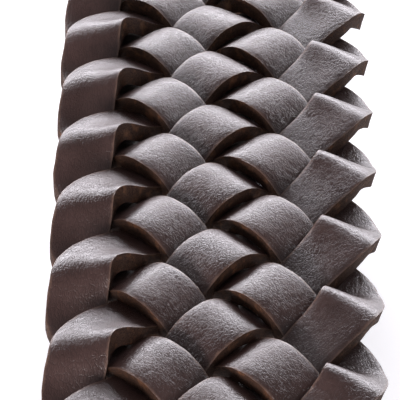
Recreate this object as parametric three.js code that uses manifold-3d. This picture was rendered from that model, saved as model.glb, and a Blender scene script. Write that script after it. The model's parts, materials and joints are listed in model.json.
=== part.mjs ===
// A braided leather headband, laid down as a flattened loop. Six leather strands are plaited into a wide
// flat braid. Each end of the braid is held in a folded, riveted leather tab. Each tab holds a wire ring,
// and a woven elastic joins the two rings behind the head. Millimetres, +Z up. The loop stands on the plane
// z = 0 on its rivets, with the face of the braid up on the top run and the elastic below. X is across the
// band, and Y runs along it. left is the end towards -Y, and right is the end towards +Y.
import * as THREE from "three";
import { mergeVertices } from "three/addons/utils/BufferGeometryUtils.js";
import Module from "manifold-3d";

const wasm = await Module();
wasm.setup();

// ---------------------------------------------------------------- driving dimensions
const GAP = 0.3; // air between pieces that touch on the real band

// The plait: every strand goes over one and under one, crosses at right angles, and turns at both edges.
const STRAND_COUNT = 6;
const STRAND_WIDTH = 5.9;
const STRAND_THICKNESS = 1.5;
const STRAND_RISE = 1.5; // a strand's middle above or below the braid's middle where it crosses
const COLUMN_SPACING = 5.94; // across the band, from one column of crossings to the next
const PLAIT_QUARTERS = 59; // half the plait's length, in quarters of its pitch: 1 less than a multiple of 4
const RAMP = 0.1; // how far from the middle of a gap a strand changes level, in half pitches
const FLAT_STRAND_WIDTH = 5.5; // where the strands lie side by side in a tab
const STRAIGHTENING = 3.5; // the length in which they come side by side

// The loop that the band's middle surface follows: a bowed top, two end curls and a flat bottom.
const CROWN_RADIUS = 330;
const CROWN_ANGLE = THREE.MathUtils.degToRad(16);
const CURL_RADIUS = 28;

// End tabs: one strip of leather folded round the ring, with a filler between its leaves.
const TAB_THICKNESS = 1.5;
const TAB_CAVITY = 1.1; // half the room between the leaves
const TAB_FROM_PLAIT = 2.8;
const TAB_LENGTH = 31; // from the mouth to the ring's bar
const TAB_MOUTH_WIDTH = 38;
const TAB_FOLD_WIDTH = 26.5;
const TAB_TAPER_START = 13;
const TAB_TAPER_END = 28;
const STRANDS_IN_TAB = 13;
const FILLER_LENGTH = 12;
const FILLER_WIDTH = 24;

// Rings: bent from round wire.
const WIRE_RADIUS = 1.25;
const BAR_CLEARANCE = 0.35;
const RING_BARS_APART = 9;
const RING_SIDES_APART = 30.5;
const RING_CORNER = 2.6;
const RING_CORNER_STEP = Math.PI / 6;
const WIRE_SIDES = 8;

// Elastic: one woven strip, folded round each ring, with its ends laid back on itself.
const ELASTIC_WIDTH = 25;
const ELASTIC_THICKNESS = 1.2;
const ELASTIC_SLACK = 1.4; // room for a bar to move in an end loop
const ELASTIC_TAIL = 8;
const ELASTIC_TAIL_SLOPE = 5.6;

// Rivets: a cap with a hollow barrel, and a post that is set into it.
const RIVET_OFFSET = 6.5; // from the band's middle line
const RIVET_FROM_MOUTH = 20.5;
const RIVET_HEAD_RADIUS = 4;
const RIVET_HEAD_HEIGHT = 1.2;
const RIVET_FLAT_RADIUS = 2.4;
const RIVET_BARREL_RADIUS = 1.7;
const RIVET_BORE_RADIUS = 1.3;
const RIVET_POST_RADIUS = 0.95;
const RIVET_SIDES = 16;

// ---------------------------------------------------------------- worked-out places
const CELL = COLUMN_SPACING; // half a pitch along the band
const CELLS_PER_ROUND = 2 * STRAND_COUNT; // from a strand's left turn to its next left turn
const PLAIT_HALF_LENGTH = (PLAIT_QUARTERS * CELL) / 2;
const RIVET_SEAT = TAB_CAVITY + TAB_THICKNESS + GAP; // from the tab's middle to under a rivet's head
const BAND_Z = RIVET_SEAT + RIVET_HEAD_HEIGHT; // the middle surface on the bottom run

const CROWN_HALF_LENGTH = CROWN_RADIUS * CROWN_ANGLE;
const CURL_LENGTH = CURL_RADIUS * (Math.PI - CROWN_ANGLE);
const CURL_Y = (CROWN_RADIUS - CURL_RADIUS) * Math.sin(CROWN_ANGLE);
const CURL_Z = BAND_Z + CURL_RADIUS;
const CROWN_BOW = (CROWN_RADIUS - CURL_RADIUS) * (1 - Math.cos(CROWN_ANGLE));
const CROWN_Z = CURL_Z + CURL_RADIUS + CROWN_BOW;

const MOUTH_ALONG = PLAIT_HALF_LENGTH + TAB_FROM_PLAIT;
const MOUTH_Y = CURL_Y + CROWN_HALF_LENGTH + CURL_LENGTH - MOUTH_ALONG;
const TAB_BAR_Y = MOUTH_Y - TAB_LENGTH;
const ELASTIC_BAR_Y = TAB_BAR_Y - RING_BARS_APART;
const FOLD_RADIUS = WIRE_RADIUS + BAR_CLEARANCE; // inside a fold that holds a bar

const ENDS = [
  { name: "left", side: -1 },
  { name: "right", side: 1 },
];
const RIVETS = [
  { name: "front", offset: -RIVET_OFFSET },
  { name: "back", offset: RIVET_OFFSET },
];

// ---------------------------------------------------------------- finishes
const strandLeather = finish(0x33221f, 0.5, 0);
const tabLeather = finish(0x2e1f1c, 0.55, 0);
const fillerLeather = finish(0x3a2822, 0.8, 0);
const elasticWeave = finish(0x1d1615, 0.9, 0);
const agedBrass = finish(0x7d6644, 0.35, 1);

function finish(color, roughness, metalness) {
  return new THREE.MeshStandardMaterial({ color, roughness, metalness });
}

// ---------------------------------------------------------------- helpers
// A box in many lengths, with each of its cross-sections moved by place(station, aside, up). station counts
// from 0 to spans, and aside and up run from -0.5 to 0.5.
function strip(spans, place) {
  const geometry = new THREE.BoxGeometry(1, 1, 1, 1, spans, 1);
  const position = geometry.attributes.position;
  for (let i = 0; i < position.count; i++) {
    const station = Math.round((position.getY(i) + 0.5) * spans);
    const point = place(station, position.getX(i), position.getZ(i));
    position.setXYZ(i, point.x, point.y, point.z);
  }
  return geometry;
}

// A strip that follows a path in the Y-Z plane and lies across X.
function stripAlong(path, spans, thickness, widthAt) {
  return strip(spans, (station, aside, up) => {
    const point = path.getPointAt(station / spans);
    const tangent = path.getTangentAt(station / spans);
    return new THREE.Vector3(
      aside * widthAt(point.x),
      point.x - up * thickness * tangent.y,
      point.y + up * thickness * tangent.x,
    );
  });
}

function solidFrom(geometry) {
  const bare = geometry.clone();
  bare.deleteAttribute("normal");
  bare.deleteAttribute("uv");
  const merged = mergeVertices(bare, 1e-4);
  const vertProperties = new Float32Array(merged.attributes.position.array);
  const triVerts = new Uint32Array(merged.index.array);
  return new wasm.Manifold(new wasm.Mesh({ numProp: 3, vertProperties, triVerts }));
}

function geometryFrom(solid) {
  const mesh = solid.getMesh();
  const geometry = new THREE.BufferGeometry();
  const position = new THREE.BufferAttribute(new Float32Array(mesh.vertProperties), 3);
  geometry.setAttribute("position", position);
  geometry.setIndex(new THREE.BufferAttribute(new Uint32Array(mesh.triVerts), 1));
  return geometry;
}

function named(name, geometry, material) {
  const mesh = new THREE.Mesh(geometry, material);
  mesh.name = name;
  return mesh;
}

// ---------------------------------------------------------------- the loop
// A point of the band: along from the middle of the crown, across, and out from the middle surface.
function bandPoint(along, across, out) {
  const side = along < 0 ? -1 : 1;
  const far = Math.abs(along);
  const pastCrown = far - CROWN_HALF_LENGTH;
  const pastCurl = pastCrown - CURL_LENGTH;
  if (pastCurl > 0) {
    return new THREE.Vector3(across, side * (CURL_Y - pastCurl), BAND_Z - out);
  }
  const onCrown = pastCrown < 0;
  const radius = onCrown ? CROWN_RADIUS : CURL_RADIUS;
  const centreY = onCrown ? 0 : CURL_Y;
  const centreZ = onCrown ? CROWN_Z - CROWN_RADIUS : CURL_Z;
  const angle = onCrown ? far / radius : CROWN_ANGLE + pastCrown / radius;
  return new THREE.Vector3(
    across,
    side * (centreY + (radius + out) * Math.sin(angle)),
    centreZ + (radius + out) * Math.cos(angle),
  );
}

// ---------------------------------------------------------------- the plait
// Phases count half pitches, and a cell is the stretch from one whole phase to the next. A strand turns in
// the middle of the last cell of each half round: at the right edge first, and then at the left.
function columnsFromTurn(columns) {
  return columns < 1 ? (1 + columns ** 2) / 2 : columns;
}

// A strand's place across the band: a zigzag, rounded where it is within a column of its turns.
function strandAcross(phase) {
  const afterLeftTurn = THREE.MathUtils.euclideanModulo(phase + 0.5, CELLS_PER_ROUND);
  const fromRight = Math.abs(afterLeftTurn - STRAND_COUNT);
  const fromLeft = STRAND_COUNT - fromRight;
  const columns =
    fromLeft < fromRight
      ? columnsFromTurn(fromLeft) - STRAND_COUNT / 2
      : STRAND_COUNT / 2 - columnsFromTurn(fromRight);
  return columns * COLUMN_SPACING;
}

// A strand's level: 1 over, -1 under, and through 0 where it turns.
function strandLevel(cell, share) {
  const inRound = THREE.MathUtils.euclideanModulo(cell, CELLS_PER_ROUND);
  const throughTurn = (share - 0.5) / (0.5 - RAMP);
  if (inRound === STRAND_COUNT - 1) return -throughTurn;
  if (inRound === CELLS_PER_ROUND - 1) return throughTurn;
  const goingRight = inRound < STRAND_COUNT;
  const even = inRound % 2 === 0;
  return even === goingRight ? 1 : -1;
}

function turnsIn(cell) {
  return THREE.MathUtils.euclideanModulo(cell, STRAND_COUNT) === STRAND_COUNT - 1;
}

// The sections of one strand: place along and across, level, heading in the band's surface, and width.
function strandSections(index) {
  const middlePhase = 2 * index + 0.5;
  const startPhase = middlePhase - PLAIT_QUARTERS / 2;
  const section = (phase, level) => {
    const rise = strandAcross(phase + RAMP / 2) - strandAcross(phase - RAMP / 2);
    return {
      along: (phase - middlePhase) * CELL,
      across: strandAcross(phase),
      out: level * STRAND_RISE,
      heading: Math.atan(rise / (RAMP * CELL)),
      width: STRAND_WIDTH,
    };
  };
  const plait = [section(startPhase, 0)];
  for (let i = 0; i < PLAIT_QUARTERS; i++) {
    const cell = startPhase + i;
    const shares = turnsIn(cell) ? [RAMP, 0.5, 1 - RAMP] : [RAMP, 1 - RAMP];
    plait.push(...shares.map((share) => section(cell + share, strandLevel(cell, share))));
  }
  plait.push(section(startPhase + PLAIT_QUARTERS, 0));

  const sideBySide = (from, side, beyond) => ({
    along: from.along + side * beyond,
    across: (Math.floor(from.across / COLUMN_SPACING) + 0.5) * COLUMN_SPACING,
    out: 0,
    heading: 0,
    width: FLAT_STRAND_WIDTH,
  });
  const inTab = TAB_FROM_PLAIT + STRANDS_IN_TAB;
  return [
    sideBySide(plait[0], -1, inTab),
    sideBySide(plait[0], -1, STRAIGHTENING),
    ...plait,
    sideBySide(plait.at(-1), 1, STRAIGHTENING),
    sideBySide(plait.at(-1), 1, inTab),
  ];
}

function strandGeometry(index) {
  const sections = strandSections(index);
  return strip(sections.length - 1, (station, aside, up) => {
    const { along, across, out, heading, width } = sections[station];
    return bandPoint(
      along - aside * width * Math.sin(heading),
      across + aside * width * Math.cos(heading),
      out + up * STRAND_THICKNESS,
    );
  });
}

function strands() {
  return Array.from({ length: STRAND_COUNT }, (_, index) =>
    named(`strand_${index + 1}`, strandGeometry(index), strandLeather),
  );
}

// ---------------------------------------------------------------- end tabs
function drilled(solid, side) {
  for (const { offset } of RIVETS) {
    const radius = RIVET_BARREL_RADIUS + GAP;
    const drill = new THREE.CylinderGeometry(radius, radius, 4 * RIVET_SEAT, RIVET_SIDES);
    drill.rotateX(Math.PI / 2);
    drill.translate(offset, side * (MOUTH_Y - RIVET_FROM_MOUTH), BAND_Z);
    solid = solid.subtract(solidFrom(drill));
  }
  return geometryFrom(solid);
}

function tabWidthAt(y) {
  const fromMouth = MOUTH_Y - Math.abs(y);
  const share = THREE.MathUtils.smoothstep(fromMouth, TAB_TAPER_START, TAB_TAPER_END);
  return THREE.MathUtils.lerp(TAB_MOUTH_WIDTH, TAB_FOLD_WIDTH, share);
}

// One strip from the mouth of the upper leaf, round the ring's bar, to the mouth of the lower leaf.
function tabGeometry(side) {
  const leaf = TAB_CAVITY + TAB_THICKNESS / 2;
  const fold = FOLD_RADIUS + TAB_THICKNESS / 2;
  const flareY = TAB_BAR_Y + 2 * FOLD_RADIUS;
  const path = new THREE.Path();
  path.moveTo(side * MOUTH_Y, BAND_Z + leaf);
  path.lineTo(side * flareY, BAND_Z + leaf);
  path.lineTo(side * TAB_BAR_Y, BAND_Z + fold);
  path.absarc(side * TAB_BAR_Y, BAND_Z, fold, Math.PI / 2, (0.5 + side) * Math.PI, side < 0);
  path.lineTo(side * flareY, BAND_Z - leaf);
  path.lineTo(side * MOUTH_Y, BAND_Z - leaf);
  return drilled(solidFrom(stripAlong(path, 44, TAB_THICKNESS, tabWidthAt)), side);
}

function fillerGeometry(side) {
  const box = new THREE.BoxGeometry(FILLER_WIDTH, FILLER_LENGTH, 2 * (TAB_CAVITY - GAP));
  box.translate(0, side * (MOUTH_Y - RIVET_FROM_MOUTH), BAND_Z);
  return drilled(solidFrom(box), side);
}

// ---------------------------------------------------------------- rivets
// A turned piece through a tab, from its profile's points of radius and height. Height counts from the
// tab's middle towards the outer face of the band, which is down.
function rivetPart(side, offset, points) {
  const profile = points.map(([radius, height]) => new THREE.Vector2(radius, height));
  const geometry = new THREE.LatheGeometry(profile, RIVET_SIDES);
  geometry.rotateX(-Math.PI / 2);
  geometry.translate(offset, side * (MOUTH_Y - RIVET_FROM_MOUTH), BAND_Z);
  return geometry;
}

function rivetCap(side, offset) {
  const boreTop = RIVET_SEAT - GAP;
  const barrelEnd = GAP - RIVET_SEAT;
  return rivetPart(side, offset, [
    [0, boreTop],
    [RIVET_BORE_RADIUS, boreTop],
    [RIVET_BORE_RADIUS, barrelEnd],
    [RIVET_BARREL_RADIUS, barrelEnd],
    [RIVET_BARREL_RADIUS, RIVET_SEAT],
    [RIVET_HEAD_RADIUS, RIVET_SEAT],
    [RIVET_HEAD_RADIUS, RIVET_SEAT + RIVET_HEAD_HEIGHT / 3],
    [RIVET_FLAT_RADIUS, RIVET_SEAT + RIVET_HEAD_HEIGHT],
    [0, RIVET_SEAT + RIVET_HEAD_HEIGHT],
  ]);
}

function rivetPost(side, offset) {
  const postEnd = RIVET_SEAT - 2 * GAP;
  return rivetPart(side, offset, [
    [0, -RIVET_SEAT - RIVET_HEAD_HEIGHT],
    [RIVET_FLAT_RADIUS, -RIVET_SEAT - RIVET_HEAD_HEIGHT],
    [RIVET_HEAD_RADIUS, -RIVET_SEAT - RIVET_HEAD_HEIGHT / 3],
    [RIVET_HEAD_RADIUS, -RIVET_SEAT],
    [RIVET_POST_RADIUS, -RIVET_SEAT],
    [RIVET_POST_RADIUS, postEnd],
    [0, postEnd],
  ]);
}

// ---------------------------------------------------------------- rings
// A torus with its four quarters pulled apart into the corners of a rectangle.
function ringGeometry(side) {
  const cornerReach = RING_CORNER * Math.cos(RING_CORNER_STEP / 2);
  const pullX = RING_SIDES_APART / 2 - cornerReach;
  const pullY = RING_BARS_APART / 2 - cornerReach;
  const sections = (2 * Math.PI) / RING_CORNER_STEP;
  const geometry = new THREE.TorusGeometry(RING_CORNER, WIRE_RADIUS, WIRE_SIDES, sections);
  geometry.rotateZ(RING_CORNER_STEP / 2);
  const position = geometry.attributes.position;
  for (let i = 0; i < position.count; i++) {
    position.setX(i, position.getX(i) + Math.sign(position.getX(i)) * pullX);
    position.setY(i, position.getY(i) + Math.sign(position.getY(i)) * pullY);
  }
  geometry.translate(0, (side * (TAB_BAR_Y + ELASTIC_BAR_Y)) / 2, BAND_Z);
  return geometry;
}

// ---------------------------------------------------------------- elastic
// From the left tail, round the left bar, along the bottom, round the right bar, to the right tail.
function elasticGeometry() {
  const fold = FOLD_RADIUS + ELASTIC_THICKNESS / 2;
  const tailZ = BAND_Z - fold + ELASTIC_THICKNESS + GAP;
  const loopEnd = ELASTIC_BAR_Y + ELASTIC_SLACK;
  const loopStart = ELASTIC_BAR_Y - ELASTIC_SLACK;
  const tailStart = loopStart - ELASTIC_TAIL_SLOPE;
  const path = new THREE.Path();
  path.moveTo(ELASTIC_TAIL - tailStart, tailZ);
  path.lineTo(-tailStart, tailZ);
  path.lineTo(-loopStart, BAND_Z + fold);
  path.lineTo(-loopEnd, BAND_Z + fold);
  path.absarc(-loopEnd, BAND_Z, fold, Math.PI / 2, 1.5 * Math.PI);
  path.lineTo(loopEnd, BAND_Z - fold);
  path.absarc(loopEnd, BAND_Z, fold, -Math.PI / 2, Math.PI / 2);
  path.lineTo(loopStart, BAND_Z + fold);
  path.lineTo(tailStart, tailZ);
  path.lineTo(tailStart - ELASTIC_TAIL, tailZ);
  return stripAlong(path, 80, ELASTIC_THICKNESS, () => ELASTIC_WIDTH);
}

// ---------------------------------------------------------------- the headband
const headband = new THREE.Group();
headband.add(...strands());
for (const { name, side } of ENDS) {
  headband.add(
    named(`${name}_tab`, tabGeometry(side), tabLeather),
    named(`${name}_tab_filler`, fillerGeometry(side), fillerLeather),
    named(`${name}_ring`, ringGeometry(side), agedBrass),
  );
  for (const { name: place, offset } of RIVETS) {
    headband.add(
      named(`${name}_${place}_rivet_cap`, rivetCap(side, offset), agedBrass),
      named(`${name}_${place}_rivet_post`, rivetPost(side, offset), agedBrass),
    );
  }
}
headband.add(named("elastic_band", elasticGeometry(), elasticWeave));

export default headband;
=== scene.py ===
import json
import math

import bmesh
import bpy
from mathutils import Matrix, Vector, noise


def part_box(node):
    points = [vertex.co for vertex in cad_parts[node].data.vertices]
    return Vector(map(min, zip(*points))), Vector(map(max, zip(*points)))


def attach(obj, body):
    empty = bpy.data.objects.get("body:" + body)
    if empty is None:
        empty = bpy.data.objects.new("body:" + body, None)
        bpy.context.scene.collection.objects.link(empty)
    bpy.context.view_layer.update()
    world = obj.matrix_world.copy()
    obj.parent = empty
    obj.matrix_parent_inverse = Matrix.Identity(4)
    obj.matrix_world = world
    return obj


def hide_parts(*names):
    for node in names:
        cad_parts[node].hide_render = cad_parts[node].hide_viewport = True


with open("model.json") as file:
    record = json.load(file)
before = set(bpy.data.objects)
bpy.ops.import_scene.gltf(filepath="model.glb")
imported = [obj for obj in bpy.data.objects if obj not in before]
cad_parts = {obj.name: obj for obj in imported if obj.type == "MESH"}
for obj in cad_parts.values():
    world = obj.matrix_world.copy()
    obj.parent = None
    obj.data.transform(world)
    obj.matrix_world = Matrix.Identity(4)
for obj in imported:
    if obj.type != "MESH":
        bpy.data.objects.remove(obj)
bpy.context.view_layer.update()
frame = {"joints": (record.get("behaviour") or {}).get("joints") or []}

# ---------------------------------------------------------------- sizes
MM = 0.001

# The plait.
STRAND_COUNT = 6
STRAND_WIDTH = 6.2 * MM
STRAND_THICKNESS = 1.9 * MM
STRAND_RISE = 1.75 * MM  # a strand's middle above or below the plait's middle where it crosses
COLUMN = 5.94 * MM  # from one column of crossings to the next, and half a pitch along the band
PLAIT_QUARTERS = 59  # half the plait's length, in quarters of its pitch
STRAND_EASING = 0.22 * MM
EDGE_DROOP = 0.16 * MM  # how far a strand's two long edges curl down
ARCH_SQUARENESS = 0.06  # 0 gives a strand round arches in the plait, and more gives flatter tops
SIDE_BY_SIDE_WIDTH = 5.5 * MM  # a strand's width where it lies flat in a tab
MOUTH_GAP = 2.8 * MM  # from an end of the plait to the mouth of its tab
STRANDS_IN_TAB = 13 * MM
STRAIGHTENING = (-0.5 * MM, 3.5 * MM)  # where a strand turns straight, past an end of the plait
FLATTENING = (-2 * MM, 2.5 * MM)  # where it is pressed flat
ROWS_PER_COLUMN = 14
STRAND_COLUMNS = 8
LAY_APART = 40  # millimetres along the grain from one strand's start to the next one's

# How unevenly the strands are cut and laid: a channel of noise, an amount, and the length it changes over.
SIDEWAYS_WANDER = (0, 0.18 * MM, 9 * MM)
WIDTH_WANDER = (1, 0.025, 14 * MM)  # the amount is a share of the width
RISE_WANDER = (2, 0.07, 8 * MM)  # and here of the rise
TWIST_WANDER = (3, 0.22 * MM, 6 * MM)
LEFT_CUT_WANDER = (5, 0.09 * MM, 1.2 * MM)
RIGHT_CUT_WANDER = (7, 0.09 * MM, 1.2 * MM)

# At an edge of the plait a strand climbs to a crest past its last crossing over, rolls, and dives. Places and
# lengths are in columns, from the middle of that crossing. A pair of values is for the right turn, whose
# inner edge is on the left (-1), and for the left turn, whose inner edge is on the right (1).
CREST_PLACE = 0.46
CREST_SKEW = {-1: 0.05, 1: -0.15}  # how much later the inner edge crests
CREST_LEVEL = 1.15
CREST_ROUNDING = {-1: 0.07, 1: 0.15}
CLIMB = {-1: 1.0, 1: 0.7}  # under 1, the strand climbs early
STEADY_CLIMB = 0.65  # the share of the climb that is steady, and the rest is eased
DIVE_LENGTH = 0.88
ROLL = 0.60 * MM  # how far the inner edge rises and the outer edge drops
ROLL_PLACE = 0.60
ROLL_SPREAD = 0.50
ROLL_START = (-0.5, 0.0)
LATE_TURN = 0.26  # how much later than halfway a left turn reaches furthest out
LATE_TURN_SPREAD = 0.50
LIP = 1.05 * MM  # how far the inner edge cups up at a left turn
LIP_PLACE = 0.04
LIP_SPREAD = 0.34
LIP_CURVE = 1.4  # over 1, the lip keeps to the edge

# The loop.
CROWN_RADIUS = 330 * MM
CROWN_ANGLE = math.radians(16)
CURL_RADIUS = 28 * MM

# The closure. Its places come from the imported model.
JOINTS = {joint["name"]: joint for joint in frame["joints"]}
TAB_BAR = Vector(JOINTS["right_ring_swing"]["pos_m"])
ELASTIC_BAR_Y = abs(JOINTS["elastic_swing"]["pos_m"][1])
BAND_Z = TAB_BAR.z
MOUTH_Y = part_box("right_tab")[1].y
ENDS = {"left": -1, "right": 1}
RIVET_SPOTS = ("front", "back")

TAB_THICKNESS = 1.5 * MM
TAB_CAVITY = 1.1 * MM  # half the gap between a tab's two leaves
TAB_MOUTH_WIDTH = 38 * MM
TAB_FOLD_WIDTH = 26.5 * MM
TAB_TAPER = (13 * MM, 28 * MM)  # where a tab narrows, from its mouth
TAB_CORNER = 4 * MM
TAB_EASING = 0.3 * MM
TAB_COLUMNS = 28
FILLER_EASING = 0.35 * MM
WIRE_RADIUS = 1.25 * MM
WIRE_SIDES = 20
FOLD_RADIUS = 1.6 * MM  # inside a fold that holds a bar
RING_CORNER = 2.6 * MM
RING_SIDES_APART = 30.5 * MM
ELASTIC_WIDTH = 25 * MM
ELASTIC_THICKNESS = 1.2 * MM
ELASTIC_BODY = 0.95 * MM  # its thickness between ribs
ELASTIC_EASING = 0.25 * MM
ELASTIC_COLUMNS = 120
RIB_HEIGHT = 0.09 * MM
RIB_PITCH = 1.25 * MM
ROW_PITCH = 0.62 * MM  # of the woven rows along the elastic
ELASTIC_SLACK = 1.4 * MM  # each way, for a ring's bar in its fold
ELASTIC_TAIL = 8 * MM
ELASTIC_TAIL_SLOPE = 5.6 * MM
RIVET_SEAT = 2.9 * MM  # from the band's middle to the underside of a head
RIVET_HEAD_HEIGHT = 1.2 * MM
RIVET_DOME_START = 0.35  # the head's straight rim, as a share of its height
RIVET_CHAMFER = (0.25 * MM, 0.2 * MM)  # inwards and upwards, where the head meets the leather
RIVET_HEAD_RADIUS = 4 * MM
RIVET_FLAT_RADIUS = 2.4 * MM
RIVET_BARREL_RADIUS = 1.7 * MM
RIVET_BORE_RADIUS = 1.3 * MM
RIVET_POST_RADIUS = 0.95 * MM
RIVET_SIDES = 40
RIVET_DOME_STEPS = 7
CLEARANCE = 0.3 * MM
TRACK_STEP = 0.5 * MM  # along the straight runs of a tab or the elastic
FOLD_STEPS = 24  # round each fold

# The stitching.
STITCH_RADIUS = 0.3 * MM
STITCH_LENGTH = 2.6 * MM
STITCH_PITCH = 3.4 * MM
STITCH_INSET = 2.4 * MM  # from a tab's edge to its stitching
STITCH_STAND = 0.05 * MM  # how far a stitch's middle lies off the leather
STITCH_SINK = 0.38 * MM  # how far its ends go in
STITCH_TAPER = 0.35  # the share of its thickness that a stitch loses at its ends
STITCHES_ACROSS = 9
STITCHES_DOWN_SIDE = 3
FIRST_STITCH_DOWN = 0.8  # in pitches, from the row across
TWIST_PITCH = 0.55 * MM  # of the thread
ZIGZAG_RADIUS = 0.2 * MM
ZIGZAG_STEP = 1.0 * MM
ZIGZAG_REACH = 0.75 * MM  # to each side of its row
ZIGZAG_ROWS = (-1.9 * MM, 1.9 * MM)
ZIGZAG_MARGIN = 1.2 * MM
ZIGZAG_SINK = 0.3 * MM

# The colours, as linear red, green and blue.
STRAND_DARK = (0.046, 0.024, 0.021)
STRAND_LIGHT = (0.070, 0.039, 0.035)
TAB_DARK = (0.036, 0.020, 0.018)
TAB_LIGHT = (0.056, 0.032, 0.029)
# a painted highlight along a strand's long edges
RIM_HIGHLIGHT = (0.24, 0.15, 0.11)
CUT_DARK = (0.022, 0.011, 0.008)
CUT_BROWN = (0.095, 0.046, 0.027)
CUT_BARE = (0.22, 0.10, 0.048)
FLESH_DARK = (0.050, 0.028, 0.019)
FLESH_LIGHT = (0.085, 0.050, 0.034)
FLESH_SHADE = (0.022, 0.012, 0.009)
BRASS = (0.42, 0.29, 0.13)
BRASS_PATINA = (0.12, 0.075, 0.035)
# painted shade in the grooves between the elastic's woven rows
ELASTIC_GROOVE_SHADE = (0.006, 0.0045, 0.004)
ELASTIC_ROW = (0.026, 0.019, 0.017)
ELASTIC_YARN = (0.036, 0.026, 0.023)
# painted shade in the grooves between the thread's plies
THREAD_GROOVE_SHADE = (0.050, 0.028, 0.018)
THREAD_PLY = (0.190, 0.120, 0.080)
THREAD_FUZZ = (0.26, 0.18, 0.12)
TABLE_COOL = (0.86, 0.86, 0.87)
TABLE_PALE = (0.90, 0.90, 0.905)
TABLE_GLOW = (0.97, 0.98, 1.0)

# The picture.
CAMERA_DISTANCE = 387 * MM
CAMERA_ELEVATION = math.radians(36.4)
CAMERA_LENS = 318.5
CAMERA_SHIFT = -0.035
CAMERA_AIM_Y = -3.7 * MM
LIGHT_AIM = Vector((0.0, 0.0, 0.06))
STUDIO_COLOUR = (0.98, 0.95, 1.0)
STUDIO_STRENGTH = 0.28
TABLE_GLOW_STRENGTH = 0.42
TABLE_DROP = 0.05 * MM  # keeps the table's face off the band's lowest face

CROWN_HALF_LENGTH = CROWN_RADIUS * CROWN_ANGLE
CURL_LENGTH = CURL_RADIUS * (math.pi - CROWN_ANGLE)
CURL_Y = (CROWN_RADIUS - CURL_RADIUS) * math.sin(CROWN_ANGLE)
CURL_Z = BAND_Z + CURL_RADIUS
CROWN_Z = CURL_Z + CURL_RADIUS + (CROWN_RADIUS - CURL_RADIUS) * (1 - math.cos(CROWN_ANGLE))
PLAIT_HALF_LENGTH = PLAIT_QUARTERS * COLUMN / 2
STRAND_END = PLAIT_HALF_LENGTH + MOUTH_GAP + STRANDS_IN_TAB
CELLS_PER_ROUND = 2 * STRAND_COUNT
ELASTIC_FOLD = FOLD_RADIUS + ELASTIC_THICKNESS / 2  # from a bar to the middle of the elastic round it
ELASTIC_TAIL_Z = BAND_Z - ELASTIC_FOLD + ELASTIC_THICKNESS + CLEARANCE
ELASTIC_TAIL_START = ELASTIC_BAR_Y - ELASTIC_SLACK - ELASTIC_TAIL_SLOPE


# ---------------------------------------------------------------- finishes
class Line:
    """A value that runs through a finish's nodes. Arithmetic on it adds Math nodes."""

    def __init__(self, finish, socket):
        self.finish = finish
        self.socket = socket

    def maths(self, operation, *values):
        inputs = dict(enumerate(values))
        return self.finish.add("ShaderNodeMath", {"operation": operation}, inputs)

    def __add__(self, other):
        return self.maths("ADD", self, other)

    __radd__ = __add__

    def __sub__(self, other):
        return self.maths("SUBTRACT", self, other)

    def __rsub__(self, other):
        return self.maths("SUBTRACT", other, self)

    def __mul__(self, other):
        return self.maths("MULTIPLY", self, other)

    __rmul__ = __mul__

    def size(self):
        return self.maths("ABSOLUTE", self)

    def sine(self):
        return self.maths("SINE", self)

    def ramp(self, low, high, start=0.0, end=1.0):
        """The value taken from low..high to start..end, and held there outside."""
        return self.finish.add(
            "ShaderNodeMapRange",
            {"interpolation_type": "SMOOTHSTEP"},
            {"Value": self, "From Min": low, "From Max": high, "To Min": start, "To Max": end},
        )


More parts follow.
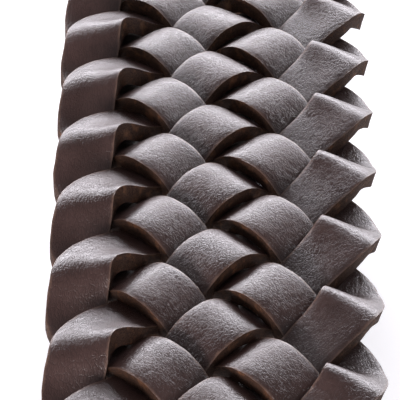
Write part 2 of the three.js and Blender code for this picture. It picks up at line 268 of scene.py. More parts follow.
class Finish:
    """A material, built node by node."""

    def __init__(self, name):
        self.material = bpy.data.materials.new(name)
        self.material.use_nodes = True
        self.tree = self.material.node_tree
        self.tree.nodes.clear()

    def add(self, kind, settings=None, inputs=None, output=0):
        """Adds a node, sets it up, fills its sockets with values or lines, and returns one output."""
        node = self.tree.nodes.new(kind)
        for name, value in (settings or {}).items():
            setattr(node, name, value)
        for name, value in (inputs or {}).items():
            if isinstance(value, Line):
                self.tree.links.new(value.socket, node.inputs[name])
            else:
                node.inputs[name].default_value = value
        return Line(self, node.outputs[output])

    def place(self):
        """A point's place on the object, in metres."""
        return self.add("ShaderNodeTexCoord", output="Object")

    def place_in_mm(self):
        return self.stretched(self.place(), (1 / MM, 1 / MM, 1 / MM))

    def lay(self):
        """A strip's own measure: millimetres from its middle line, and millimetres along it."""
        return self.add("ShaderNodeUVMap", {"uv_map": "lay"})

    def split(self, vector, axis):
        return self.add("ShaderNodeSeparateXYZ", None, {0: vector}, axis)

    def stretched(self, vector, scale):
        return self.add("ShaderNodeVectorMath", {"operation": "MULTIPLY"}, {0: vector, 1: scale})

    def cloud(self, vector, scale, detail=2.0, roughness=0.5):
        inputs = {"Vector": vector, "Scale": scale, "Detail": detail, "Roughness": roughness}
        return self.add("ShaderNodeTexNoise", None, inputs)

    def warped(self, vector, scale, amount):
        """vector pushed about by a soft noise."""
        push = self.add("ShaderNodeTexNoise", None, {"Vector": vector, "Scale": scale}, "Color")
        centre = (0.5, 0.5, 0.5)
        push = self.add("ShaderNodeVectorMath", {"operation": "SUBTRACT"}, {0: push, 1: centre})
        push = self.stretched(push, (amount, amount, amount))
        return self.add("ShaderNodeVectorMath", {"operation": "ADD"}, {0: vector, 1: push})

    def cells(self, vector, scale):
        """0 on the borders between small cells, rising to their middles."""
        settings = {"feature": "DISTANCE_TO_EDGE"}
        return self.add("ShaderNodeTexVoronoi", settings, {"Vector": vector, "Scale": scale}, "Distance")

    def between(self, mask, colour_a, colour_b):
        """colour_a where the mask is 0, colour_b where it is 1."""
        settings = {"data_type": "RGBA"}
        inputs = {0: mask, 6: colour_a, 7: colour_b}
        return self.add("ShaderNodeMix", settings, inputs, 2)

    def close(self, colour, roughness, height, depth, **fixed):
        """Ends the finish in one shader, with height as a bump of that depth."""
        normal = self.add("ShaderNodeBump", None, {"Strength": 1.0, "Distance": depth, "Height": height})
        inputs = {"Base Color": colour, "Roughness": roughness, "Normal": normal}
        inputs.update({name.replace("_", " "): value for name, value in fixed.items()})
        shader = self.add("ShaderNodeBsdfPrincipled", None, inputs)
        output = self.tree.nodes.new("ShaderNodeOutputMaterial")
        self.tree.links.new(shader.socket, output.inputs["Surface"])
        return self.material


def rgb(red, green, blue):
    return (red, green, blue, 1.0)


def grain_leather(name, dark, light, use_lay, scale=1.0):
    """Satin top-grain leather: pebbled skin, fine pores and soft creases, with painted shade in the pits of
    the skin. With use_lay the skin is drawn out along a strip, whose rim is painted lighter as a highlight."""
    finish = Finish(name)
    spot = finish.lay() if use_lay else finish.place_in_mm()
    bent = finish.warped(spot, 1.3 * scale, 0.5 / scale)
    drawn = finish.stretched(bent, (1.3, 0.62, 1.0)) if use_lay else bent
    pebble = finish.cells(drawn, 2.8 * scale).ramp(0.0, 0.16)
    fine = finish.cells(drawn, 7.5 * scale).ramp(0.0, 0.16)
    pores = finish.cloud(spot, 9.0 * scale, 3.0, 0.6)
    crease = finish.cloud(finish.stretched(bent, (0.55, 1.7, 1.0)), 1.1 * scale, 3.0, 0.6)
    mottle = finish.cloud(spot, 0.22 * scale, 3.0, 0.55)
    skin = pebble * 0.32 + fine * 0.10 + pores * 0.10 + crease * 0.7
    colour = finish.between(mottle.ramp(0.3, 0.7), rgb(*dark), rgb(*light))
    # painted shade: the skin is darkened where its bumps are low, in the pits and creases
    painted_hollow_shade = (pebble * 0.6 + crease * 0.4).ramp(0.1, 0.6, 0.35, 0.0)
    colour = finish.between(painted_hollow_shade, colour, rgb(*(value * 0.4 for value in dark)))
    if use_lay:
        half = finish.add("ShaderNodeAttribute", {"attribute_name": "half_width"}, None, "Fac")
        side = finish.split(spot, "X").size()
        ragged = finish.cloud(spot, 1.5, 2.0) * 0.5
        # painted highlight: a lighter band along the strip's long edges, made ragged by noise
        rim = (side - half + ragged).ramp(-0.10, 0.30, 0.0, 0.50)
        colour = finish.between(rim, colour, rgb(*RIM_HIGHLIGHT))
    rough = pores.ramp(0.3, 0.7, 0.26, 0.39) + mottle.ramp(0.3, 0.7, -0.03, 0.04)
    return finish.close(colour, rough, skin, 0.06 * MM, Specular_IOR_Level=0.5)


def cut_leather():
    """The raw cut edge: brown fibres, dyed unevenly, a little fuzzy."""
    finish = Finish("strand_cut_edge")
    spot = finish.place_in_mm()
    fibre = finish.cloud(finish.stretched(spot, (1.0, 1.0, 2.2)), 4.5, 4.0, 0.7)
    patches = finish.cloud(spot, 0.9, 3.0, 0.6)
    dyed = finish.between(fibre.ramp(0.35, 0.7), rgb(*CUT_DARK), rgb(*CUT_BROWN))
    colour = finish.between(patches.ramp(0.50, 0.75, 0.0, 0.6), dyed, rgb(*CUT_BARE))
    return finish.close(colour, 0.85, fibre, 0.15 * MM, Specular_IOR_Level=0.25)


def flesh_leather():
    """The back of the leather: a short suede nap."""
    finish = Finish("strand_flesh_side")
    spot = finish.place_in_mm()
    nap = finish.cloud(spot, 5.0, 4.0, 0.7)
    patches = finish.cloud(spot, 0.35, 3.0, 0.6)
    colour = finish.between(patches.ramp(0.3, 0.7), rgb(*FLESH_DARK), rgb(*FLESH_LIGHT))
    colour = finish.between(nap.ramp(0.35, 0.65, 0.5, 0.0), colour, rgb(*FLESH_SHADE))
    return finish.close(colour, 0.92, nap, 0.12 * MM, Specular_IOR_Level=0.15, Sheen_Weight=0.25)


def aged_brass():
    """Brass wire and rivets, browned in patches and finely scratched."""
    finish = Finish("aged_brass")
    spot = finish.place_in_mm()
    patina = finish.cloud(spot, 0.7, 4.0, 0.65)
    scratches = finish.cloud(finish.stretched(spot, (0.6, 9.0, 3.0)), 1.2, 3.0, 0.6)
    colour = finish.between(patina.ramp(0.40, 0.68), rgb(*BRASS), rgb(*BRASS_PATINA))
    rough = patina.ramp(0.40, 0.68, 0.24, 0.48) + scratches.ramp(0.45, 0.7, 0.0, 0.10)
    return finish.close(colour, rough, scratches * 0.6 + patina * 0.4, 0.02 * MM, Metallic=1.0)


def ribbed_elastic():
    """Woven elastic: ribs along the band, each crossed by short bound rows."""
    finish = Finish("elastic_weave")
    spot = finish.lay()
    across = finish.split(spot, "X")
    along = finish.split(spot, "Y")
    rib = (across * (2 * math.pi * MM / RIB_PITCH)).sine()
    step = (across * (math.pi * MM / RIB_PITCH)).sine().ramp(-0.1, 0.1, 0.0, math.pi)
    rows = (along * (2 * math.pi * MM / ROW_PITCH) + step).sine()
    yarn = finish.cloud(finish.stretched(spot, (6.0, 1.5, 1.0)), 1.6, 3.0, 0.6)
    height = rows * 0.35 + rib * 0.25 + yarn * 0.5
    # painted shade: the grooves between the woven rows are darkened
    colour = finish.between(rows.ramp(-0.8, 0.9), rgb(*ELASTIC_GROOVE_SHADE), rgb(*ELASTIC_ROW))
    colour = finish.between(yarn.ramp(0.4, 0.7, 0.0, 0.5), colour, rgb(*ELASTIC_YARN))
    return finish.close(colour, 0.86, height, 0.14 * MM, Specular_IOR_Level=0.2, Sheen_Weight=0.2)


def waxed_thread():
    """Sewing thread, with its twist and a little fuzz."""
    finish = Finish("waxed_thread")
    spot = finish.place_in_mm()
    slant = finish.split(spot, "X") + finish.split(spot, "Y")
    ply = (slant * (2 * math.pi * MM / TWIST_PITCH)).sine()
    fibre = finish.cloud(spot, 7.0, 3.0, 0.6)
    # painted shade: the grooves between the plies are darkened
    colour = finish.between(ply.ramp(-0.9, 0.8), rgb(*THREAD_GROOVE_SHADE), rgb(*THREAD_PLY))
    colour = finish.between(fibre.ramp(0.5, 0.75, 0.0, 0.4), colour, rgb(*THREAD_FUZZ))
    return finish.close(colour, 0.6, ply * 0.6 + fibre * 0.4, 0.08 * MM, Specular_IOR_Level=0.35)


def pale_table():
    finish = Finish("pale_table")
    spot = finish.place()
    cloud = finish.cloud(spot, 14.0, 3.0, 0.5)
    colour = finish.between(cloud, rgb(*TABLE_COOL), rgb(*TABLE_PALE))
    glow = {"Emission_Color": rgb(*TABLE_GLOW), "Emission_Strength": TABLE_GLOW_STRENGTH}
    return finish.close(colour, 0.8, cloud, 0.02 * MM, Specular_IOR_Level=0.2, **glow)


# ---------------------------------------------------------------- making pieces
def piece(name, bm, materials):
    """Turns a bmesh into an object at the origin."""
    mesh = bpy.data.meshes.new(name)
    bm.to_mesh(mesh)
    bm.free()
    for face in mesh.polygons:
        face.use_smooth = True
    for material in materials:
        mesh.materials.append(material)
    made = bpy.data.objects.new(name, mesh)
    bpy.context.scene.collection.objects.link(made)
    return made


def thickened(made, thickness, easing, segments=2, back=0, rim=0):
    """Gives a sheet its thickness, half to each side, and eases its edges. back and rim pick materials."""
    wall = made.modifiers.new("thickness", "SOLIDIFY")
    wall.thickness = thickness
    wall.offset = 0.0
    wall.material_offset = back
    wall.material_offset_rim = rim
    ease = made.modifiers.new("eased_edges", "BEVEL")
    ease.width = easing
    ease.segments = segments
    ease.limit_method = "ANGLE"
    ease.angle_limit = math.radians(50)


def settled(made, body, slot, *nodes):
    """Puts a piece on its body, in place of the nodes that it stands for."""
    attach(made, body)
    if nodes:
        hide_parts(*nodes)


def sheet(columns, rows, place):
    """A grid laid by place(aside, run): aside from -1 to 1, run from 0 to 1. place gives the point, the
    lay in millimetres, and half the strip's width in millimetres."""
    bm = bmesh.new()
    bmesh.ops.create_grid(bm, x_segments=columns, y_segments=rows, size=1.0)
    lay = bm.loops.layers.uv.new("lay")
    half_width = bm.verts.layers.float.new("half_width")
    lays = {}
    for vertex in bm.verts:
        point, spot, half = place(vertex.co.x, (vertex.co.y + 1) / 2)
        vertex.co = point
        vertex[half_width] = half
        lays[vertex] = spot
    for face in bm.faces:
        for loop in face.loops:
            loop[lay].uv = lays[loop.vert]
    return bm


# ---------------------------------------------------------------- the loop
def band_point(along, across, out):
    """A point of the band: along from the middle of the crown, across, and out from the middle surface."""
    side = -1 if along < 0 else 1
    far = abs(along)
    past_crown = far - CROWN_HALF_LENGTH
    past_curl = past_crown - CURL_LENGTH
    if past_curl > 0:
        return Vector((across, side * (CURL_Y - past_curl), BAND_Z - out))
    if past_crown < 0:
        angle = far / CROWN_RADIUS
        centre = (0.0, CROWN_Z - CROWN_RADIUS)
        radius = CROWN_RADIUS
    else:
        angle = CROWN_ANGLE + past_crown / CURL_RADIUS
        centre = (CURL_Y, CURL_Z)
        radius = CURL_RADIUS
    y = side * (centre[0] + (radius + out) * math.sin(angle))
    return Vector((across, y, centre[1] + (radius + out) * math.cos(angle)))


# ---------------------------------------------------------------- the plait
def smooth(value, start, end):
    """0 before start, 1 after end, and eased between them."""
    share = min(max((value - start) / (end - start), 0.0), 1.0)
    return share * share * (3 - 2 * share)


def hump(value, place, spread):
    """1 at a place, and falling to 0 about two spreads from it."""
    return math.exp(-(((value - place) / spread) ** 2))


def from_turn(columns):
    """How far in from the edge's outer line a strand lies, so many columns before or after it turns."""
    return (1 + columns**2) / 2 if columns < 1 else columns


def zigzag(phase):
    """A strand's place across, in columns, at a phase in half pitches. It turns right of the middle first."""
    from_right = (phase + 0.5) % CELLS_PER_ROUND - STRAND_COUNT
    if abs(from_right) <= STRAND_COUNT / 2:
        return STRAND_COUNT / 2 - from_turn(abs(from_right))
    from_left = from_right - math.copysign(STRAND_COUNT, from_right)
    from_left += LATE_TURN * hump(from_left, 0.0, LATE_TURN_SPREAD)
    return from_turn(abs(from_left)) - STRAND_COUNT / 2


def past_last_over(phase):
    """How far a phase is past the last crossing over before an edge, and which side the turn's inner edge
    is on: -1 left, 1 right. None away from the edges."""
    place = phase % CELLS_PER_ROUND
    after_right = place - (STRAND_COUNT - 1.5)
    before_left = (0.5 - place) % CELLS_PER_ROUND
    if -1 <= after_right <= 2:
        return after_right, -1
    if before_left > CELLS_PER_ROUND - 1:
        return before_left - CELLS_PER_ROUND, 1
    if before_left <= 2:
        return before_left, 1
    return None


def edge_level(past, inner, aside):
    """The level through a turn: the climb to the crest, and the dive after it."""
    height = CREST_LEVEL + 1
    crest = CREST_PLACE + CREST_SKEW[inner] * aside * inner
    if past > crest:
        return CREST_LEVEL - height * smooth(past, crest, crest + DIVE_LENGTH)
    share = (past + 1) / (crest + 1)
    climbed = STEADY_CLIMB * share + (1 - STEADY_CLIMB) * smooth(share, 0, 1)
    return height * climbed ** CLIMB[inner] - 1


def level(phase, aside):
    """1 where the strand is over, -1 where it is under."""
    turning = past_last_over(phase)
    if turning:
        past, inner = turning
        rounding = CREST_ROUNDING[inner]
        near = (past - rounding, past, past + rounding)
        return sum(edge_level(max(spot, -1), inner, aside) for spot in near) / len(near)
    cell = math.floor(phase) % CELLS_PER_ROUND
    going_right = cell < STRAND_COUNT
    over = 1 if (cell % 2 == 0) == going_right else -1
    angle = math.pi * (phase % 1 - 0.5)
    return over * ((1 + ARCH_SQUARENESS) * math.cos(angle) - ARCH_SQUARENESS * math.cos(3 * angle))


def roll(phase, aside):
    """How far a point of the section is lifted by the roll at an edge of the plait."""
    turning = past_last_over(phase)
    if not turning:
        return 0.0
    past, inner = turning
    lift = ROLL * hump(past, ROLL_PLACE, ROLL_SPREAD) * smooth(past, *ROLL_START) * aside * inner
    if inner > 0 and aside > 0:
        lift += LIP * hump(past, LIP_PLACE, LIP_SPREAD) * aside**LIP_CURVE
    return lift


def wander(index, along, channel, amount, length):
    """A slow wander between -amount and amount, the same each time. Each strand and channel has its own."""
    return amount * noise.noise(Vector((along / length, index * 7.3 + 1.7, channel * 3.1 + 0.4)))


def past_plait(along, stretch):
    """0 in the plait and 1 in a tab, changing over a stretch about the plait's end."""
    return smooth(abs(along) - PLAIT_HALF_LENGTH, *stretch)


def strand_middle(index, along):
    """Across, at a place along: a zigzag in the plait, and side by side with the others in the tabs."""
    phase = 2 * index + 0.5 + along / COLUMN
    end_phase = 2 * index + 0.5 + math.copysign(PLAIT_QUARTERS / 2, along)
    parked = math.floor(zigzag(end_phase)) + 0.5
    straight = past_plait(along, STRAIGHTENING)
    across = zigzag(phase) * (1 - straight) + parked * straight
    return across * COLUMN + wander(index, along, *SIDEWAYS_WANDER) * (1 - straight)


def strand_sheet(index):
    """One strand's middle surface, from inside one tab to inside the other."""
    rows = round(2 * STRAND_END / COLUMN * ROWS_PER_COLUMN)
    step = 2 * STRAND_END / rows
    travelled = [0.0]
    for row in range(rows):
        along = -STRAND_END + row * step
        sideways = strand_middle(index, along + step) - strand_middle(index, along)
        travelled.append(travelled[-1] + math.hypot(sideways, step))

    def place(aside, run):
        along = -STRAND_END + run * 2 * STRAND_END
        phase = 2 * index + 0.5 + along / COLUMN
        flat = past_plait(along, FLATTENING)
        slope = (strand_middle(index, along + step) - strand_middle(index, along - step)) / (2 * step)
        heading = math.atan(slope)
        width = STRAND_WIDTH * (1 + wander(index, along, *WIDTH_WANDER))
        width += (SIDE_BY_SIDE_WIDTH - width) * flat
        near_edge = aside**4
        cut = LEFT_CUT_WANDER if aside < 0 else RIGHT_CUT_WANDER
        half = width / 2 + wander(index, along, *cut) * near_edge
        rise = STRAND_RISE * (1 + wander(index, along, *RISE_WANDER))
        out = rise * level(phase, aside) + roll(phase, aside)
        out += wander(index, along, *TWIST_WANDER) * aside - EDGE_DROOP * near_edge
        point = band_point(
            along - aside * half * math.sin(heading),
            strand_middle(index, along) + aside * half * math.cos(heading),
            out * (1 - flat),
        )
        lay = (aside * half / MM, travelled[round(run * rows)] / MM + index * LAY_APART)
        return point, lay, half / MM

    return sheet(STRAND_COLUMNS, rows, place)


def make_strands(materials):
    for index in range(STRAND_COUNT):
        name = f"strand_{index + 1}"
        made = piece(f"plaited_{name}", strand_sheet(index), materials)
        thickened(made, STRAND_THICKNESS, STRAND_EASING, back=1, rim=2)
        settled(made, "braided_band", "strand_leather", name)


# ---------------------------------------------------------------- strips that follow a path
class Track:
    """A path in the Y-Z plane, made of straight runs and arcs, and read by length."""

    def __init__(self, start):
        self.points = [Vector(start)]

    def line(self, y, z):
        begin = self.points[-1]
        end = Vector((y, z))
        count = max(1, math.ceil((end - begin).length / TRACK_STEP))
        self.points += [begin.lerp(end, (i + 1) / count) for i in range(count)]

    def arc(self, y, z, turn):
        """Turns about (y, z) by that angle, counter-clockwise as seen with Y to the right."""
        arm = self.points[-1] - Vector((y, z))
        for i in range(FOLD_STEPS):
            angle = turn * (i + 1) / FOLD_STEPS
            swung = (
                arm.x * math.cos(angle) - arm.y * math.sin(angle),
                arm.x * math.sin(angle) + arm.y * math.cos(angle),
            )
            self.points.append(Vector((y, z)) + Vector(swung))

    def strip(self, columns, width_at, shape=lambda aside, run: 0.0):
        """A sheet along the track, as wide as width_at(y) says. shape lifts it off the track."""
        lengths = [0.0]
        for before, after in zip(self.points, self.points[1:]):
            lengths.append(lengths[-1] + (after - before).length)
        rows = len(self.points) - 1

        def place(aside, run):
            row = round(run * rows)
            ahead = self.points[min(row + 1, rows)] - self.points[max(row - 1, 0)]
            ahead.normalize()
            here = self.points[row]
            half = width_at(here.x) / 2
            lift = shape(aside, lengths[row])
            point = Vector((aside * half, here.x - lift * ahead.y, here.y + lift * ahead.x))
            return point, (aside * half / MM, lengths[row] / MM), half / MM

        return sheet(columns, rows, place)


# ---------------------------------------------------------------- end tabs
def tab_width(y):
    """Across a tab at a place: tapered towards the ring, and rounded at the corners of its mouth."""
    from_mouth = MOUTH_Y - abs(y)
    width = TAB_MOUTH_WIDTH + (TAB_FOLD_WIDTH - TAB_MOUTH_WIDTH) * smooth(from_mouth, *TAB_TAPER)
    short = max(TAB_CORNER - from_mouth, 0.0)
    return width - 2 * (TAB_CORNER - math.sqrt(max(TAB_CORNER**2 - short**2, 0.0)))


def make_tab(name, side, leather, cut):
    """One strip of leather, folded round the ring's bar and back over the ends of the strands."""
    leaf = TAB_CAVITY + TAB_THICKNESS / 2
    fold = FOLD_RADIUS + TAB_THICKNESS / 2
    flare_y = TAB_BAR.y + 2 * FOLD_RADIUS
    track = Track((side * MOUTH_Y, BAND_Z + leaf))
    track.line(side * flare_y, BAND_Z + leaf)
    track.line(side * TAB_BAR.y, BAND_Z + fold)
    track.arc(side * TAB_BAR.y, BAND_Z, side * math.pi)
    track.line(side * flare_y, BAND_Z - leaf)
    track.line(side * MOUTH_Y, BAND_Z - leaf)
    made = piece(f"folded_{name}_tab", track.strip(TAB_COLUMNS, tab_width), [leather, cut])
    thickened(made, TAB_THICKNESS, TAB_EASING, segments=3, rim=1)
    settled(made, "braided_band", "tab_leather", f"{name}_tab")


def make_filler(name, leather):
    """A slip of leather with eased edges, inside a tab."""
    low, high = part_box(f"{name}_tab_filler")
    bm = bmesh.new()
    bmesh.ops.create_cube(bm, size=1.0)
    bmesh.ops.scale(bm, verts=bm.verts, vec=high - low)
    bmesh.ops.translate(bm, verts=bm.verts, vec=(low + high) / 2)
    bmesh.ops.bevel(
        bm,
        geom=bm.edges,
        offset=FILLER_EASING,
        segments=3,
        profile=0.5,
        affect="EDGES",
        material=-1,
    )
    made = piece(f"bevelled_{name}_tab_filler", bm, [leather])
    settled(made, "braided_band", "filler_leather", f"{name}_tab_filler")


# ---------------------------------------------------------------- rivets
def turned(profile, place):
    """A profile of (radius, height) points, spun about a vertical axis through place."""
    bm = bmesh.new()
    corners = [bm.verts.new((radius, 0.0, height)) for radius, height in profile]
    edges = [bm.edges.new(pair) for pair in zip(corners, corners[1:])]
    bmesh.ops.spin(
        bm,
        geom=corners + edges,
        cent=(0, 0, 0),
        axis=(0, 0, 1),
        angle=2 * math.pi,
        steps=RIVET_SIDES,
        use_merge=True,
    )
    bmesh.ops.remove_doubles(bm, verts=bm.verts, dist=1e-7)
    bmesh.ops.recalc_face_normals(bm, faces=bm.faces)
    bmesh.ops.translate(bm, verts=bm.verts, vec=place)
    return bm


def rivet_head(sign):
    """The head's profile from its seat to its flat, on the side of the tab that sign says."""
    seat = sign * RIVET_SEAT
    inwards, upwards = RIVET_CHAMFER
    points = [(RIVET_HEAD_RADIUS - inwards, seat), (RIVET_HEAD_RADIUS, seat + sign * upwards)]
    for i in range(RIVET_DOME_STEPS + 1):
        angle = math.pi / 2 * i / RIVET_DOME_STEPS
        radius = RIVET_FLAT_RADIUS + (RIVET_HEAD_RADIUS - RIVET_FLAT_RADIUS) * math.cos(angle)
        height = RIVET_HEAD_HEIGHT * (RIVET_DOME_START + (1 - RIVET_DOME_START) * math.sin(angle))
        points.append((radius, seat + sign * height))
    points.append((0.0, seat + sign * RIVET_HEAD_HEIGHT))
    return points


def make_rivets(name, brass):
    """The two rivets of a tab, each a tubular cap from below and a solid post from above."""
    for spot in RIVET_SPOTS:
        cap_node = f"{name}_{spot}_rivet_cap"
        post_node = f"{name}_{spot}_rivet_post"
        low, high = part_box(cap_node)
        place = Vector(((low.x + high.x) / 2, (low.y + high.y) / 2, BAND_Z))
        bore_top = -(RIVET_SEAT - CLEARANCE)
        barrel = [
            (0.0, bore_top),
            (RIVET_BORE_RADIUS, bore_top),
            (RIVET_BORE_RADIUS, -bore_top),
            (RIVET_BARREL_RADIUS, -bore_top),
            (RIVET_BARREL_RADIUS, -RIVET_SEAT),
        ]
        cap = piece(f"domed_{cap_node}", turned(barrel + rivet_head(-1), place), [brass])
        settled(cap, "braided_band", "aged_brass", cap_node)
        post_end = -(RIVET_SEAT - 2 * CLEARANCE)
        shank = [(0.0, post_end), (RIVET_POST_RADIUS, post_end), (RIVET_POST_RADIUS, RIVET_SEAT)]
        post = piece(f"domed_{post_node}", turned(shank + rivet_head(1), place), [brass])
        settled(post, "braided_band", "aged_brass", post_node)


# ---------------------------------------------------------------- rings
def make_ring(name, side, brass):
    """Round wire, bent four times, with its ends brazed together."""
    reach_x = RING_SIDES_APART / 2 - RING_CORNER
    reach_y = (TAB_BAR.y - ELASTIC_BAR_Y) / 2 - RING_CORNER
    bm = bmesh.new()
    bmesh.ops.create_circle(bm, cap_ends=False, radius=WIRE_RADIUS, segments=WIRE_SIDES)
    upright = Matrix.Rotation(math.pi / 2, 4, "Y")
    start = Vector((-reach_x, -reach_y - RING_CORNER, 0.0))
    bmesh.ops.transform(bm, matrix=Matrix.Translation(start) @ upright, verts=bm.verts)
    end = {"geom": bm.verts[:] + bm.edges[:]}
    runs = [(reach_x, -reach_y), (reach_x, reach_y), (-reach_x, reach_y), (-reach_x, -reach_y)]
    for turn, (x, y) in enumerate(runs):
        direction = Vector((math.cos(turn * math.pi / 2), math.sin(turn * math.pi / 2), 0.0))
        length = 2 * (reach_x if turn % 2 == 0 else reach_y)
        edges = [item for item in end["geom"] if isinstance(item, bmesh.types.BMEdge)]
        grown = bmesh.ops.extrude_edge_only(bm, edges=edges)["geom"]
        rim = [item for item in grown if isinstance(item, bmesh.types.BMVert)]
        bmesh.ops.translate(bm, verts=rim, vec=direction * length)
        ring = [item for item in grown if not isinstance(item, bmesh.types.BMFace)]
        rim_edges = [item for item in ring if isinstance(item, bmesh.types.BMEdge)]
        rim_edges = [edge for edge in rim_edges if all(vertex in rim for vertex in edge.verts)]
        spun = bmesh.ops.spin(
            bm,
            geom=rim + rim_edges,
            cent=(x, y, 0.0),
            axis=(0, 0, 1),
            angle=math.pi / 2,
            steps=8,
        )
        end = {"geom": spun["geom_last"]}
    bmesh.ops.remove_doubles(bm, verts=bm.verts, dist=1e-6)
    bmesh.ops.recalc_face_normals(bm, faces=bm.faces)
    middle = Vector((0.0, side * (TAB_BAR.y + ELASTIC_BAR_Y) / 2, BAND_Z))
    bmesh.ops.translate(bm, verts=bm.verts, vec=middle)
    made = piece(f"bent_{name}_ring", bm, [brass])
    settled(made, f"{name}_ring", "aged_brass", f"{name}_ring")


# ---------------------------------------------------------------- elastic
def make_elastic(weave):
    """One woven strip, with each end folded up round a ring's bar and its tail laid on the strip."""
    high = BAND_Z + ELASTIC_FOLD
    low = BAND_Z - ELASTIC_FOLD
    loop_end = ELASTIC_BAR_Y + ELASTIC_SLACK
    loop_start = ELASTIC_BAR_Y - ELASTIC_SLACK
    track = Track((ELASTIC_TAIL - ELASTIC_TAIL_START, ELASTIC_TAIL_Z))
    track.line(-ELASTIC_TAIL_START, ELASTIC_TAIL_Z)
    track.line(-loop_start, high)
    track.line(-loop_end, high)
    track.arc(-loop_end, BAND_Z, math.pi)
    track.line(loop_end, low)
    track.arc(loop_end, BAND_Z, math.pi)
    track.line(loop_start, high)
    track.line(ELASTIC_TAIL_START, ELASTIC_TAIL_Z)
    track.line(ELASTIC_TAIL_START - ELASTIC_TAIL, ELASTIC_TAIL_Z)

    def ribs(aside, run):
        return RIB_HEIGHT * math.sin(aside * ELASTIC_WIDTH / 2 * 2 * math.pi / RIB_PITCH)

    bm = track.strip(ELASTIC_COLUMNS, lambda y: ELASTIC_WIDTH, ribs)
    made = piece("woven_elastic_band", bm, [weave])
    thickened(made, ELASTIC_BODY, ELASTIC_EASING)
    settled(made, "elastic", "elastic_weave", "elastic_band")


# ---------------------------------------------------------------- stitching
def stitch_shape():
    """A straight length of thread along Z from -1 to 1, of radius 1, in six lengths."""
    bm = bmesh.new()
    bmesh.ops.create_cone(bm, cap_ends=True, segments=8, radius1=1.0, radius2=1.0, depth=2.0)
    lengthways = [edge for edge in bm.edges if abs(edge.verts[0].co.z - edge.verts[1].co.z) > 1.0]
    bmesh.ops.subdivide_edges(bm, edges=lengthways, cuts=5)
    mesh = bpy.data.meshes.new("stitch_shape")
    bm.to_mesh(mesh)
    bm.free()
    return mesh


def add_stitch(bm, shape, middle, half, sink, radius):
    """One stitch of thread, reaching half to each side of its middle. Its ends are thinner, and sink."""
    first = len(bm.verts)
    bm.from_mesh(shape)
    bm.verts.ensure_lookup_table()
    turn = Vector((0, 0, 1)).rotation_difference(half.normalized())
    for vertex in bm.verts[first:]:
        share = vertex.co.z
        thick = radius * (1 - STITCH_TAPER * share**4)
        local = Vector((vertex.co.x * thick, vertex.co.y * thick, share * half.length))
        vertex.co = middle + turn @ local + sink * share**4


def make_tab_stitching(name, side, shape, thread):
    """A row across a tab's mouth and a short row down each side, on both faces."""
    bm = bmesh.new()
    half_across = Vector((STITCH_LENGTH / 2, 0.0, 0.0))
    half_along = Vector((0.0, STITCH_LENGTH / 2, 0.0))
    edge = TAB_MOUTH_WIDTH / 2 - STITCH_INSET
    row_y = side * (MOUTH_Y - STITCH_INSET)
    for face in (-1, 1):
        z = BAND_Z + face * (TAB_CAVITY + TAB_THICKNESS + STITCH_STAND)
        sink = Vector((0.0, 0.0, -face * STITCH_SINK))
        for i in range(STITCHES_ACROSS):
            x = (i - (STITCHES_ACROSS - 1) / 2) * STITCH_PITCH
            add_stitch(bm, shape, Vector((x, row_y, z)), half_across, sink, STITCH_RADIUS)
        for i in range(STITCHES_DOWN_SIDE):
            y = row_y - side * (i + FIRST_STITCH_DOWN) * STITCH_PITCH
            for x in (-edge, edge):
                add_stitch(bm, shape, Vector((x, y, z)), half_along, sink, STITCH_RADIUS)
    made = piece(f"{name}_tab_stitching", bm, [thread])
    settled(made, "braided_band", "tab_leather")


def make_elastic_stitching(name, side, shape, thread):
    """Two rows of zigzag through the elastic's tail, showing on the tail and under the band."""
    bm = bmesh.new()
    tail_middle = ELASTIC_TAIL_START - ELASTIC_TAIL / 2
    count = round((ELASTIC_WIDTH - 2 * ZIGZAG_MARGIN) / ZIGZAG_STEP)
    tail_face = ELASTIC_TAIL_Z + ELASTIC_THICKNESS / 2
    under_face = BAND_Z - ELASTIC_FOLD - ELASTIC_THICKNESS / 2
    for z, face in ((tail_face, 1), (under_face, -1)):
        sink = Vector((0.0, 0.0, -face * ZIGZAG_SINK))
        for row in ZIGZAG_ROWS:
            for i in range(count):
                flip = 1 if i % 2 == 0 else -1
                x = (i + 0.5 - count / 2) * ZIGZAG_STEP
                middle = Vector((x, side * (tail_middle + row), z))
                half = Vector((ZIGZAG_STEP / 2, flip * ZIGZAG_REACH, 0.0))
                add_stitch(bm, shape, middle, half, sink, ZIGZAG_RADIUS)
    made = piece(f"{name}_elastic_stitching", bm, [thread])
    settled(made, "elastic", "elastic_weave")


# ---------------------------------------------------------------- the picture
def make_table(material):
    bm = bmesh.new()
    bmesh.ops.create_grid(bm, x_segments=4, y_segments=4, size=4.0)
    bmesh.ops.translate(bm, verts=bm.verts, vec=(0.0, 0.0, -TABLE_DROP))
    piece("table", bm, [material])


def make_light(name, place, width, height, power, colour):
    """A soft panel of light, turned towards the band and hidden from the camera."""
    data = bpy.data.lights.new(name, "AREA")
    data.shape = "RECTANGLE"
    data.size = width
    data.size_y = height
    data.energy = power
    data.color = colour
    lamp = bpy.data.objects.new(name, data)
    lamp.location = place
    lamp.visible_camera = False
    lamp.rotation_euler = (LIGHT_AIM - Vector(place)).to_track_quat("-Z", "Y").to_euler()
    bpy.context.scene.collection.objects.link(lamp)


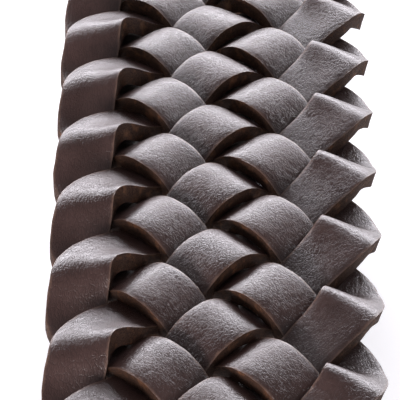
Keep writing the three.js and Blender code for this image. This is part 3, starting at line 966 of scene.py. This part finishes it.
def make_lighting():
    world = bpy.data.worlds.new("studio")
    world.use_nodes = True
    background = world.node_tree.nodes["Background"]
    background.inputs["Color"].default_value = rgb(*STUDIO_COLOUR)
    background.inputs["Strength"].default_value = STUDIO_STRENGTH
    bpy.context.scene.world = world
    bpy.context.scene.view_settings.view_transform = "Standard"
    make_light(
        "back_window",
        place=(0.0, 1.2, 0.41),
        width=2.4,
        height=0.50,
        power=45.0,
        colour=(0.965, 0.935, 1.0),
    )
    make_light(
        "front_fill",
        place=(-0.4, -1.0, 0.19),
        width=0.7,
        height=0.22,
        power=13.0,
        colour=(1.0, 0.89, 0.88),
    )


def make_camera():
    """Looks down on the crown from behind the near end, through a long lens."""
    top = Vector((0.0, CAMERA_AIM_Y, CROWN_Z + STRAND_RISE + STRAND_THICKNESS / 2))
    back = Vector((0.0, -math.cos(CAMERA_ELEVATION), math.sin(CAMERA_ELEVATION)))
    data = bpy.data.cameras.new("camera")
    data.lens = CAMERA_LENS
    data.sensor_width = 36.0
    data.shift_x = CAMERA_SHIFT
    data.clip_start = 0.01
    data.clip_end = 20.0
    camera = bpy.data.objects.new("camera", data)
    camera.location = top + back * CAMERA_DISTANCE
    camera.rotation_euler = (-back).to_track_quat("-Z", "Y").to_euler()
    bpy.context.scene.collection.objects.link(camera)
    bpy.context.scene.camera = camera


make_camera()
make_lighting()

strand_grain = grain_leather("strand_grain", STRAND_DARK, STRAND_LIGHT, use_lay=True)
tab_grain = grain_leather("tab_grain", TAB_DARK, TAB_LIGHT, use_lay=False, scale=0.7)
cut_edge = cut_leather()
flesh_side = flesh_leather()
brass = aged_brass()
elastic_weave = ribbed_elastic()
thread = waxed_thread()
stitch = stitch_shape()

make_strands([strand_grain, flesh_side, cut_edge])
for end_name, end_side in ENDS.items():
    make_tab(end_name, end_side, tab_grain, cut_edge)
    make_filler(end_name, flesh_side)
    make_rivets(end_name, brass)
    make_ring(end_name, end_side, brass)
    make_tab_stitching(end_name, end_side, stitch, thread)
    make_elastic_stitching(end_name, end_side, stitch, thread)
make_elastic(elastic_weave)
make_table(pale_table())
